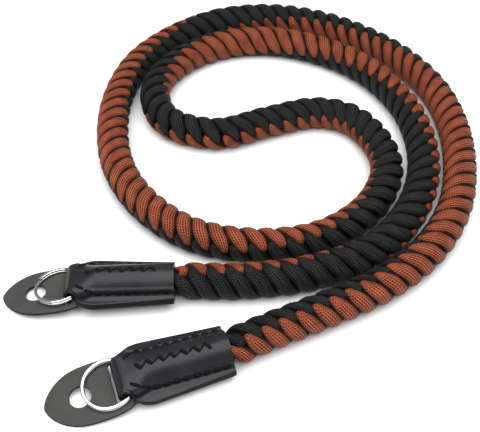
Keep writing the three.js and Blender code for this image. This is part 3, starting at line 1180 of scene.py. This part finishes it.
@dataclass
class LeatherSheath:
    """A strip of leather folded over the ring and sewn along both sides round the strap's end.

    The room fields are the space inside the fold, and the bar fields the part of it where the pad's
    bar lies. face_ease and rim_ease are how far the rows' corners are eased. The rim has rim_points
    points between its two shoulders, which are cut edge by shoulder_mark. skirt is the swell beside
    the bulge, from skirt_from to skirt_to along the sheath, and seam the groove that the thread
    lies in. The cavity fields are the round space for the strap's end.
    """

    place: EndPlace
    length: float = 37.0
    leather: float = 1.25
    fold_edge: float = 1.2
    room_half: float = 2.6
    room_half_width: float = 6.4
    room_end: float = 8.6
    room_end_half: float = 1.5
    room_corner: float = 0.4
    corner_steps: int = 4
    roof_from: float = 6.4
    bar_end: float = 7.7
    bar_slit_top: float = -0.85
    side_open_to: float = 5.1
    side_reach: float = 12.0
    slit_reach: float = 12.5
    inset: float = 0.02
    flange_height: float = 5.15
    least_flange: float = 0.8
    rim_round: float = 0.35
    rim_chamfer: float = 0.3
    rim_points: int = 5
    shoulder_mark: float = 0.6
    face_ease: float = 1.0
    rim_ease: float = 0.5
    ease_steps: int = 4
    notch: float = 0.35
    notch_half: float = 0.16
    notch_from: float = 9.0
    notch_to: float = 13.0
    skirt: float = 1.0
    skirt_width: float = 1.6
    skirt_from: float = 6.5
    skirt_to: float = 11.0
    skirt_share: float = 0.8
    seam_inset: float = 0.1
    seam_depth: float = 0.45
    seam_half: float = 0.55
    seam_from: float = 5.2
    seam_to: float = 7.5
    cavity_start: float = 12.6
    cavity_half_width: float = 4.8
    cavity_half_height: float = 4.7
    cavity_sides: int = 56
    crease: float = 38.0
    rows: int = 96
    first_rows: Pair = (0.1, 0.22)
    flange_steps: int = 9
    dome_steps: int = 18

    def base(self) -> Matrix:
        """Finds the end's own axes.

        Returns:
            The axes on the table: x runs from the fold's outer edge to the mouth.
        """
        heading = math.radians(self.place.heading)
        x = self.place.mouth[0] - self.length * math.cos(heading)
        y = self.place.mouth[1] - self.length * math.sin(heading)
        return moved(x, y, 0) @ about("Z", self.place.heading)

    def neck(self) -> Matrix:
        """The end's axes, raised to the fold's middle and rolled with it."""
        return self.base() @ moved(0, 0, self.place.neck_height) @ about("X", self.place.roll)

    def read(self, name: str, at: float) -> float:
        """Reads a size of the cross section, eased over a short stretch.

        Args:
            name: The size's name in SheathRow.
            at: The distance from the fold's outer edge.

        Returns:
            The size in millimetres.
        """
        table = [(row.at, getattr(row, name)) for row in SHEATH_ROWS]
        ease = self.rim_ease if name in ("half", "flange") else self.face_ease
        reach = min(ease, at - self.fold_edge, self.length - at)
        stops = [at + reach * k / self.ease_steps for k in range(-self.ease_steps, self.ease_steps + 1)]
        return sum(between(table, stop) for stop in stops) / len(stops)

    def top(self, at: float, y: float, upper: bool = True) -> float:
        """Finds the height of the sheath's face over its middle plane.

        Args:
            at: The distance from the fold's outer edge.
            y: The distance sideways.
            upper: True for the crown, False for the depth of the belly.

        Returns:
            The height or depth in millimetres.
        """
        side = abs(y)
        flange = self.read("flange", at)
        bulge = self.read("bulge", at)
        high = self.read("crown" if upper else "belly", at)
        share = min(1.0, side / bulge)
        height = flange + (high - flange) * (1 - share * share) ** self.read("power", at)
        if not upper:
            return height
        sewn = ramp(at, self.skirt_from, self.skirt_to)
        away = max(0.0, side - bulge)
        swell = self.skirt * math.exp(-((away / self.skirt_width) ** 2))
        height += sewn * swell * ramp(share, self.skirt_share, 1.0)
        groove = (side - bulge - self.seam_inset) / self.seam_half
        height -= ramp(at, self.seam_from, self.seam_to) * self.seam_depth * math.exp(-groove * groove)
        return height

    def spot(self, at: float, y: float, z: float) -> Vector:
        """Turns a place in a cross section into one on the table.

        Args:
            at: The distance from the fold's outer edge.
            y: The distance sideways.
            z: The height over the middle plane.

        Returns:
            The place in millimetres.
        """
        roll = math.radians(self.place.roll)
        rise = self.read("rise", at)
        middle = self.place.neck_height * (1 - rise) + self.flange_height * rise
        across = y * math.cos(roll) - z * math.sin(roll)
        height = middle + y * math.sin(roll) + z * math.cos(roll)
        return self.base() @ Vector((at, across, height))

    def lift(self, at: float, y: float, near: float = 0.2) -> tuple[Vector, Vector]:
        """Finds a place on the crown side of the leather and the way that the leather faces there.

        Args:
            at: The distance from the fold's outer edge.
            y: The distance sideways.
            near: How far off the slope is felt.

        Returns:
            The place in millimetres and the direction.
        """
        here = self.spot(at, y, self.top(at, y))
        ahead = self.spot(at + near, y, self.top(at + near, y)) - here
        beside = self.spot(at, y + near, self.top(at, y + near)) - here
        return here, ahead.cross(beside).normalized()

    def _half(self, at: float, upper: bool) -> list[Pair]:
        """Draws one face of a cross section from its +y rim to its middle.

        Args:
            at: The distance from the fold's outer edge.
            upper: True for the crown, False for the belly.

        Returns:
            The places sideways, each with its height or depth.
        """
        half = self.read("half", at)
        rim = half - self.rim_round
        bulge = min(self.read("bulge", at), half - self.least_flange)
        flat = [rim - (rim - bulge) * k / self.flange_steps for k in range(self.flange_steps)]
        dome = [bulge * math.cos(math.pi / 2 * k / self.dome_steps) for k in range(self.dome_steps + 1)]
        return [(y, self.top(at, y, upper)) for y in flat + dome]

    def _ring(self, at: float) -> list[Vector]:
        """Draws one whole cross section.

        Args:
            at: The distance from the fold's outer edge.

        Returns:
            Its points in millimetres.
        """
        half = self.read("half", at)
        thick = self.top(at, half, False)
        edge = self.top(at, half)
        gap = self.notch * ramp(at, self.notch_from, self.notch_to)
        shoulder = self.rim_round * self.rim_chamfer
        rim_low = [(half - shoulder, shoulder - thick), (half, self.rim_round - thick)]
        middle = [(half, -self.notch_half), (half - gap, 0.0), (half, self.notch_half)]
        rim_top = [(half, edge - self.rim_round), (half - shoulder, edge - shoulder)]
        belly = [(y, -z) for y, z in reversed(self._half(at, False))]
        right = [*belly, *rim_low, *middle, *rim_top, *self._half(at, True)]
        left = [(-y, z) for y, z in reversed(right[1:-1])]
        return [self.spot(at, y, z) for y, z in right + left]

    def _cut_edges(self) -> list[float]:
        """Marks the points of one cross section that lie on the leather's cut edge.

        Returns:
            A number from 0 to 1 for each point.
        """
        face = [0.0] * (self.flange_steps + self.dome_steps + 1)
        rim = [self.shoulder_mark, *[1.0] * self.rim_points, self.shoulder_mark]
        right = face + rim + face
        return right + list(reversed(right[1:-1]))

    def _body(self) -> Piece:
        """Makes the sheath's outside as a closed body.

        Returns:
            The body.
        """
        span = self.length - self.fold_edge
        ats = [self.fold_edge + span * k / self.rows for k in range(self.rows + 1)]
        ats[1:1] = [self.fold_edge + step for step in self.first_rows]
        rings = [self._ring(at) for at in ats]
        points = [p for ring in rings for p in ring]
        body = mesh_object("sheath_body", points, skin_faces(len(rings), len(rings[0])))
        note_numbers(body, "cut_edge", self._cut_edges() * len(rings))
        return body

    def _mouth_hollow(self) -> Piece:
        """Makes the space for the strap's end as a closed body.

        Returns:
            The body.
        """
        rings = []
        for at in (self.cavity_start, self.length + 1):
            for y, z in circle(1.0, self.cavity_sides):
                height = STRAP_RADIUS + self.cavity_half_height * z
                rings.append(self.base() @ Vector((at, self.cavity_half_width * y, height)))
        return mesh_object("mouth_hollow", rings, skin_faces(2, self.cavity_sides))

    def _fold_cut(self, outline: Sequence[Pair], half_width: float) -> Piece:
        """Makes a closed body across the fold.

        Args:
            outline: Its corners, along the fold and up from the fold's middle.
            half_width: How far it reaches to each side.

        Returns:
            The body.
        """
        neck = self.neck()
        rings = []
        for y in (-half_width, half_width):
            rings.extend(neck @ Vector((x, y, z)) for x, z in outline)
        return mesh_object("fold_cut", rings, skin_faces(2, len(outline)))

    def _fold_cuts(self) -> list[Piece]:
        """Makes the room in the fold, its side openings and the slit that the pad's bar leaves by.

        Returns:
            The three bodies.
        """
        wall = self.fold_edge + self.leather
        half = self.room_half
        inset = self.inset
        low = []
        for k in range(self.corner_steps + 1):
            turn = math.pi / 2 / self.corner_steps * k
            low.append((wall + self.room_corner * (1 - math.sin(turn)),
                        -half + self.room_corner * (1 - math.cos(turn))))
        start = [*[(x, -z) for x, z in low], *reversed(low)]
        room = [(self.bar_end, -half), (self.room_end, -self.room_end_half),
                (self.room_end, self.room_end_half), (self.roof_from, half), *start]
        sides = [(self.side_open_to, inset - half), (self.side_open_to, half - inset)]
        sides += [(x + inset, z * (1 - inset / half)) for x, z in start]
        front = wall + self.room_corner + 2 * inset
        slit = [(self.bar_end - inset, 2 * inset - half), (self.bar_end - inset, self.bar_slit_top),
                (front, self.bar_slit_top), (front, 2 * inset - half)]
        return [self._fold_cut(room, self.room_half_width), self._fold_cut(sides, self.side_reach),
                self._fold_cut(slit, self.slit_reach)]

    def build(self, material: bpy.types.Material) -> Piece:
        """Makes the leather and puts it in place of the part's sheath.

        Args:
            material: The leather.

        Returns:
            The finished sheath.
        """
        body = self._body()
        cutters = [self._mouth_hollow(), *self._fold_cuts()]
        for thing in (body, *cutters):
            outward(thing)
        sheath = carve(body, cutters, f"{self.place.name}_sheath_leather")
        shade(sheath, self.crease, material)
        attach(sheath, "root")
        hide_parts(f"{self.place.name}_sheath")
        return sheath


@dataclass(frozen=True)
class Stitch:
    """One stitch: its two ends as places on the sheath, and how much thicker it is than the thread."""

    first: Pair
    second: Pair
    weight: float


@dataclass
class SewnRows:
    """The stitches of one sheath: a zigzag row along its crown and a straight row at each side.

    zigzag_lean is where the back stitch ends, as a share of the pitch, and jitter how far its ends
    stray along and across. A side row starts side_inset_at_neck nearer the middle and reaches its
    place between neck_from and neck_to. bow and dip are how far a stitch stands up and sinks in, in
    threads.
    """

    sheath: LeatherSheath
    thread: float = 0.95
    bow: float = 0.7
    dip: float = 0.35
    arc_steps: int = 10
    sides: int = 8
    zigzag_start: float = 8.2
    zigzag_end: float = 33.4
    zigzag_count: int = 7
    zigzag_half: float = 0.85
    zigzag_lean: float = 0.34
    long_weight: float = 1.3
    short_weight: float = 0.7
    jitter: Pair = (0.22, 0.2)
    side_pitch: float = 3.1
    side_stitch: float = 2.35
    side_start: float = 5.4
    side_end: float = 35.8
    side_from_middle: float = 6.15
    side_inset_at_neck: float = 1.9
    neck_from: float = 5.0
    neck_to: float = 9.5
    side_weight: float = 1.15
    seed: int = 7

    def _tree(self, material: bpy.types.Material) -> PieceTree:
        """Builds the tree that lays one arched stitch along each edge of a guide mesh.

        Args:
            material: The thread.

        Returns:
            The tree, with the stitch's sizes as named inputs.
        """
        tree = PieceTree("stitches")
        thread = tree.number("Thread", self.thread * MM)
        nominal = tree.number("Nominal Length", self.side_stitch * MM)
        bow = tree.number("Bow", self.bow * self.thread * MM)
        dip = tree.number("Dip", self.dip * self.thread * MM)
        ends = tree.node("GeometryNodeInputMeshEdgeVertices")
        span = tree.vector("SUBTRACT", ends.outputs["Position 2"], ends.outputs["Position 1"])
        noted = tree.node("GeometryNodeCaptureAttribute", {"domain": "EDGE"}, Geometry=tree.guide())
        for kind, name, value in (
            ("VECTOR", "span", span), ("VECTOR", "lift", tree.named("lift", "FLOAT_VECTOR")),
            ("FLOAT", "stretch", tree.math("DIVIDE", tree.vector("LENGTH", span), nominal)),
            ("FLOAT", "weight", tree.named("weight")),
        ):
            noted.capture_items.new(kind, name)
            tree.put(noted.inputs[name], value)
        middles = tree.node("GeometryNodeMeshToPoints", {"mode": "EDGES"}, Mesh=noted.outputs["Geometry"])
        turn = tree.node(
            "FunctionNodeAxesToRotation", {"primary_axis": "X", "secondary_axis": "Z"},
            Primary_Axis=noted.outputs["span"], Secondary_Axis=noted.outputs["lift"],
        )
        half = tree.times(nominal, 0.5)
        low = tree.times(dip, -1.0)
        arc = tree.node(
            "GeometryNodeCurveQuadraticBezier", Resolution=self.arc_steps,
            Start=tree.joined(tree.times(half, -1.0), 0.0, low),
            Middle=tree.joined(0.0, 0.0, bow), End=tree.joined(half, 0.0, low),
        )
        section = tree.node(
            "GeometryNodeCurvePrimitiveCircle", Resolution=self.sides, Radius=tree.times(thread, 0.5),
        )
        stitch = tree.node(
            "GeometryNodeCurveToMesh", Curve=arc.outputs[0], Profile_Curve=section.outputs[0],
            Fill_Caps=True,
        )
        weight = noted.outputs["weight"]
        placed = tree.node(
            "GeometryNodeInstanceOnPoints", Points=middles.outputs[0], Instance=stitch.outputs[0],
            Rotation=turn.outputs[0], Scale=tree.joined(noted.outputs["stretch"], weight, weight),
        )
        tree.finish(placed.outputs[0], material)
        return tree

    def _zigzag(self) -> list[Stitch]:
        """Places the stitches along the crown.

        Returns:
            The stitches.
        """
        chance = random.Random(self.seed + len(self.sheath.place.name))
        along, across = self.jitter
        pitch = (self.zigzag_end - self.zigzag_start) / self.zigzag_count
        corners: list[Pair] = []
        for k in range(self.zigzag_count):
            at = self.zigzag_start + pitch * k
            for ahead, y in ((0.0, self.zigzag_half), (self.zigzag_lean * pitch, -self.zigzag_half)):
                stray = chance.uniform(-along, along)
                corners.append((at + ahead + stray, y + chance.uniform(-across, across)))
        weights = (self.long_weight, self.short_weight) * self.zigzag_count
        return [Stitch(*ends) for ends in zip(corners, corners[1:], weights)]

    def _side_place(self, at: float, side: int) -> Pair:
        """A place on a side row, which starts nearer the crown at the neck."""
        inset = self.side_inset_at_neck * (1 - ramp(at, self.neck_from, self.neck_to))
        return (at, side * (self.side_from_middle - inset))

    def _straight(self, side: int) -> list[Stitch]:
        """Places the stitches along one side.

        Args:
            side: 1 or -1 for the side.

        Returns:
            The stitches.
        """
        stitches = []
        at = self.side_start
        while at + self.side_stitch <= self.side_end:
            ends = (self._side_place(at, side), self._side_place(at + self.side_stitch, side))
            stitches.append(Stitch(*ends, self.side_weight))
            at += self.side_pitch
        return stitches

    def build(self, material: bpy.types.Material) -> Piece:
        """Sews the sheath.

        Args:
            material: The thread.

        Returns:
            All stitches of the sheath as one piece.
        """
        name = f"{self.sheath.place.name}_sheath_stitches"
        stitches = self._zigzag() + self._straight(1) + self._straight(-1)
        spots = [self.sheath.lift(*end) for stitch in stitches for end in (stitch.first, stitch.second)]
        edges = [(2 * k, 2 * k + 1) for k in range(len(stitches))]
        guide = mesh_object(f"{name}_line", [here for here, _ in spots], edges=edges)
        note_vectors(guide, "lift", [lift for _, lift in spots])
        note_numbers(guide, "weight", [stitch.weight for stitch in stitches for _ in range(2)])
        sewn = self._tree(material).make(guide, name)
        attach(sewn, "root")
        return sewn


# The handles of each curve of one half of a pad's outline, from its tip, and where it ends
PAD_SPANS = [
    ((-20.2, 3.1), (-16.0, 8.8), (-8.5, 9.5)),
    ((-3.5, 9.85), (2.6, 9.7), (5.0, 8.3)),
    ((6.2, 7.6), (6.8, 6.6), (6.8, 4.6)),
]


@dataclass
class ProtectorPad:
    """A leather leaf with a blunt tip, a round hole and a slot that the sheath's fold goes through.

    Its x runs from the tip towards the sheath, and pivot is the bar that the fold holds. seat_gap is
    the gap between the bar and what it lies on, and steepest the most that the pad may tilt down.
    """

    sheath: LeatherSheath
    thick: float = 1.0
    pivot: float = 4.7
    tip: Pair = (-20.6, 0.0)
    hole_at: float = -9.5
    hole_radius: float = 3.4
    hole_steps: int = 48
    slot_to: float = 2.9
    slot_half: float = 7.0
    slot_corner: float = 0.7
    corner_steps: int = 5
    edge_round: float = 0.28
    edge_steps: int = 3
    seat_gap: float = 0.28
    steepest: float = -20.0
    halvings: int = 40
    curve_steps: int = 20
    crease: float = 50.0

    def _outline(self) -> list[Pair]:
        """Draws the leaf's outline.

        Returns:
            Its points, from the tip round the -y side.
        """
        half: list[Pair] = [self.tip]
        start = self.tip
        for leave, arrive, to in PAD_SPANS:
            ends = (start, leave, arrive, to)
            for k in range(1, self.curve_steps + 1):
                t = k / self.curve_steps
                u = 1 - t
                weights = (u ** 3, 3 * u * u * t, 3 * u * t * t, t ** 3)
                half.append((sum(w * p[0] for w, p in zip(weights, ends)),
                             sum(w * p[1] for w, p in zip(weights, ends))))
            start = to
        return [(x, -y) for x, y in half] + list(reversed(half[1:]))

    def _openings(self) -> list[list[Pair]]:
        """Draws the round hole and the slot.

        Returns:
            Their two outlines.
        """
        hole = [(self.hole_at + x, y) for x, y in circle(self.hole_radius, self.hole_steps)]
        low = (self.sheath.place.slot_from, -self.slot_half)
        high = (self.slot_to, self.slot_half)
        return [hole, round_rectangle(low, high, self.slot_corner, self.corner_steps)]

    def _seat(self) -> Matrix:
        """The pad's axes on the fold, before it settles."""
        return self.sheath.neck() @ moved(
            self.pivot, 0, self.seat_gap + self.thick / 2 - self.sheath.room_half)

    def _laid(self) -> Matrix:
        """How the pad is shifted and turned on its tilted axes."""
        place = self.sheath.place
        return moved(place.pad_at, place.pad_shift, 0) @ about("Z", place.pad_turn)

    def settled(self) -> Matrix:
        """Tilts the pad so far that its lowest corner meets the table.

        Returns:
            Its tilted axes.
        """
        laid = self._laid()
        corners = [laid @ Vector((x - self.pivot, y, z)) for x, y in self._outline()
                   for z in (-self.thick / 2, self.thick / 2)]
        low, high = self.steepest, 0.0
        for _ in range(self.halvings):
            middle = (low + high) / 2
            tilted = self._seat() @ about("Y", middle)
            if min((tilted @ c).z for c in corners) > 0:
                high = middle
            else:
                low = middle
        return self._seat() @ about("Y", high)

    def _leaf(self, name: str) -> Piece:
        """Cuts the flat leaf, with rounded edges.

        Args:
            name: Its name.

        Returns:
            The leaf as a plain mesh about its pivot.
        """
        leaf = bpy.data.curves.new(name, "CURVE")
        leaf.dimensions = "2D"
        leaf.fill_mode = "BOTH"
        leaf.extrude = (self.thick / 2 - self.edge_round) * MM
        leaf.bevel_depth = self.edge_round * MM
        leaf.bevel_resolution = self.edge_steps
        leaf.offset = -self.edge_round * MM
        for outline in (self._outline(), *self._openings()):
            spline = leaf.splines.new("POLY")
            spline.points.add(len(outline) - 1)
            spline.use_cyclic_u = True
            for point, (x, y) in zip(spline.points, outline):
                point.co = ((x - self.pivot) * MM, y * MM, 0, 1)
        return plain_copy(linked(f"{name}_curve", leaf), name)

    def build(self, material: bpy.types.Material) -> Piece:
        """Cuts the leaf and puts it in place of the part's pad.

        Args:
            material: The leather.

        Returns:
            The finished pad.
        """
        pad = self._leaf(f"{self.sheath.place.name}_pad_leather")
        placed = self.settled() @ self._laid()
        face, rim = self.thick / 2 - self.edge_round / 2, self.thick / 2
        edges = [1 - ramp(abs(v.co.z) / MM, face, rim) for v in pad.data.vertices]
        note_numbers(pad, "cut_edge", edges)
        for vertex in pad.data.vertices:
            vertex.co = (placed @ (vertex.co / MM)) * MM
        weld(pad)
        shade(pad, self.crease, material)
        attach(pad, "root")
        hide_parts(f"{self.sheath.place.name}_pad")
        return pad


@dataclass
class SplitRing:
    """Two turns of flat steel wire, which step from one turn to the next in one place.

    turn_step is the rise from one turn to the next, jog how many degrees the step takes each way,
    and corner the roundness of the wire's edges.
    """

    pad: ProtectorPad
    outer: float = 8.3
    inner: float = 7.2
    turn_thick: float = 0.78
    turn_step: float = 0.86
    jog: float = 35.0
    corner: float = 0.32
    corner_steps: int = 3
    steps: int = 168
    crease: float = 60.0

    def _axes(self) -> Matrix:
        """Finds where the ring lies.

        Returns:
            Its axes: z is its own axis, from the middle of its lower turn.
        """
        place = self.pad.sheath.place
        height = self.pad.thick / 2 + self.pad.seat_gap + self.turn_thick / 2 + place.ring_lift
        axes = self.pad.settled() @ moved(place.ring_at - self.pad.pivot, place.ring_shift, height)
        return axes @ about("X", place.ring_roll) @ about("Z", place.ring_jog)

    def build(self, material: bpy.types.Material) -> Piece:
        """Winds the wire and puts it in place of the part's ring.

        Args:
            material: The steel.

        Returns:
            The finished ring.
        """
        axes = self._axes()
        middle = (self.outer + self.inner) / 2
        wide, high = (self.outer - self.inner) / 2, self.turn_thick / 2
        section = round_rectangle((-wide, -high), (wide, high), self.corner, self.corner_steps)
        points = []
        for i in range(self.steps + 1):
            degrees = self.jog + (720 - 2 * self.jog) * i / self.steps
            lift = self.turn_step * ramp(degrees, 360 - self.jog, 360 + self.jog)
            angle = math.radians(degrees)
            for out, up in section:
                reach = middle + out
                points.append(axes @ Vector((reach * math.cos(angle), reach * math.sin(angle), lift + up)))
        name = self.pad.sheath.place.name
        ring = mesh_object(f"{name}_ring_wire", points, skin_faces(self.steps + 1, len(section)))
        outward(ring)
        shade(ring, self.crease, material)
        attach(ring, "root")
        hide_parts(f"{name}_split_ring")
        return ring


# The studio


@dataclass
class Studio:
    """The camera, floor and lights, in metres and degrees."""

    camera_at: Triple = (-0.0053, -0.2362, 0.2244)
    camera_tilt: float = 44.0
    lens: float = 64.5
    sensor: float = 36.0
    clip_start: float = 0.01
    floor_half: float = 2.5
    box_size: Pair = (0.85, 0.75)
    box_at: Triple = (0.0, -0.16, 0.6)
    box_tilt: float = 10.0
    box_watts: float = 9.5
    ambient: float = 0.32

    def camera(self) -> None:
        """Places the camera at the photograph's view."""
        data = bpy.data.cameras.new("photo_view")
        data.lens = self.lens
        data.sensor_width = self.sensor
        data.clip_start = self.clip_start
        view = linked("photo_view", data)
        view.location = self.camera_at
        view.rotation_euler = (math.radians(self.camera_tilt), 0, 0)
        bpy.context.scene.camera = view

    def floor(self) -> None:
        """Lays the floor."""
        edge = self.floor_half / MM
        corners = [Vector((x * edge, y * edge, 0)) for x, y in ((-1, -1), (1, -1), (1, 1), (-1, 1))]
        table = mesh_object("table_top", corners, [(0, 1, 2, 3)])
        table.data.materials.append(FloorFinish().material())

    def lights(self) -> None:
        """Hangs one large soft light over the strap and fills in with a plain sky."""
        data = bpy.data.lights.new("overhead_softbox", "AREA")
        data.shape = "RECTANGLE"
        data.size, data.size_y = self.box_size
        data.energy = self.box_watts
        softbox = linked("overhead_softbox", data)
        softbox.location = self.box_at
        softbox.rotation_euler = (math.radians(self.box_tilt), 0, 0)
        bpy.context.scene.view_settings.view_transform = "Standard"
        world = bpy.data.worlds.new("studio_air")
        world.use_nodes = True
        sky = world.node_tree.nodes["Background"]
        sky.inputs["Color"].default_value = (1, 1, 1, 1)
        sky.inputs["Strength"].default_value = self.ambient
        bpy.context.scene.world = world


def main() -> None:
    """Builds the pieces in order and reports each one."""
    logging.basicConfig(level=logging.INFO, format="%(name)s: %(message)s")
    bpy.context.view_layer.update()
    studio = Studio()
    studio.camera()
    strap = KnottedStrap(StrapRoute())
    # Each braid's second colour is painted shade for the grooves of its weave
    black = WovenFinish("black_braid", crest=(0.03, 0.03, 0.029), groove_shade=(0.001, 0.001, 0.001))
    brown = WovenFinish("brown_braid", crest=(0.45, 0.113, 0.055), groove_shade=(0.03, 0.005, 0.002))
    made = [strap.build(CordColour.BLACK, black), strap.build(CordColour.BROWN, brown)]
    leather = LeatherFinish(
        "satin_black_leather", base=(0.0105, 0.011, 0.013), worn=(0.015, 0.0157, 0.0182),
        roughness=0.33,
    ).material()
    suede = LeatherFinish(
        "matte_grey_leather", base=(0.038, 0.038, 0.036), worn=(0.049, 0.0485, 0.046), roughness=0.7,
    ).material()
    steel = SteelFinish().material()
    thread = ThreadFinish().material()
    for place in ENDS:
        sheath = LeatherSheath(place)
        pad = ProtectorPad(sheath)
        made.append(sheath.build(leather))
        made.append(SewnRows(sheath).build(thread))
        made.append(pad.build(suede))
        made.append(SplitRing(pad).build(steel))
    studio.floor()
    studio.lights()
    for piece in made:
        log.info("%s: %d faces", piece.name, len(piece.data.polygons))


if __name__ == "__main__":
    main()
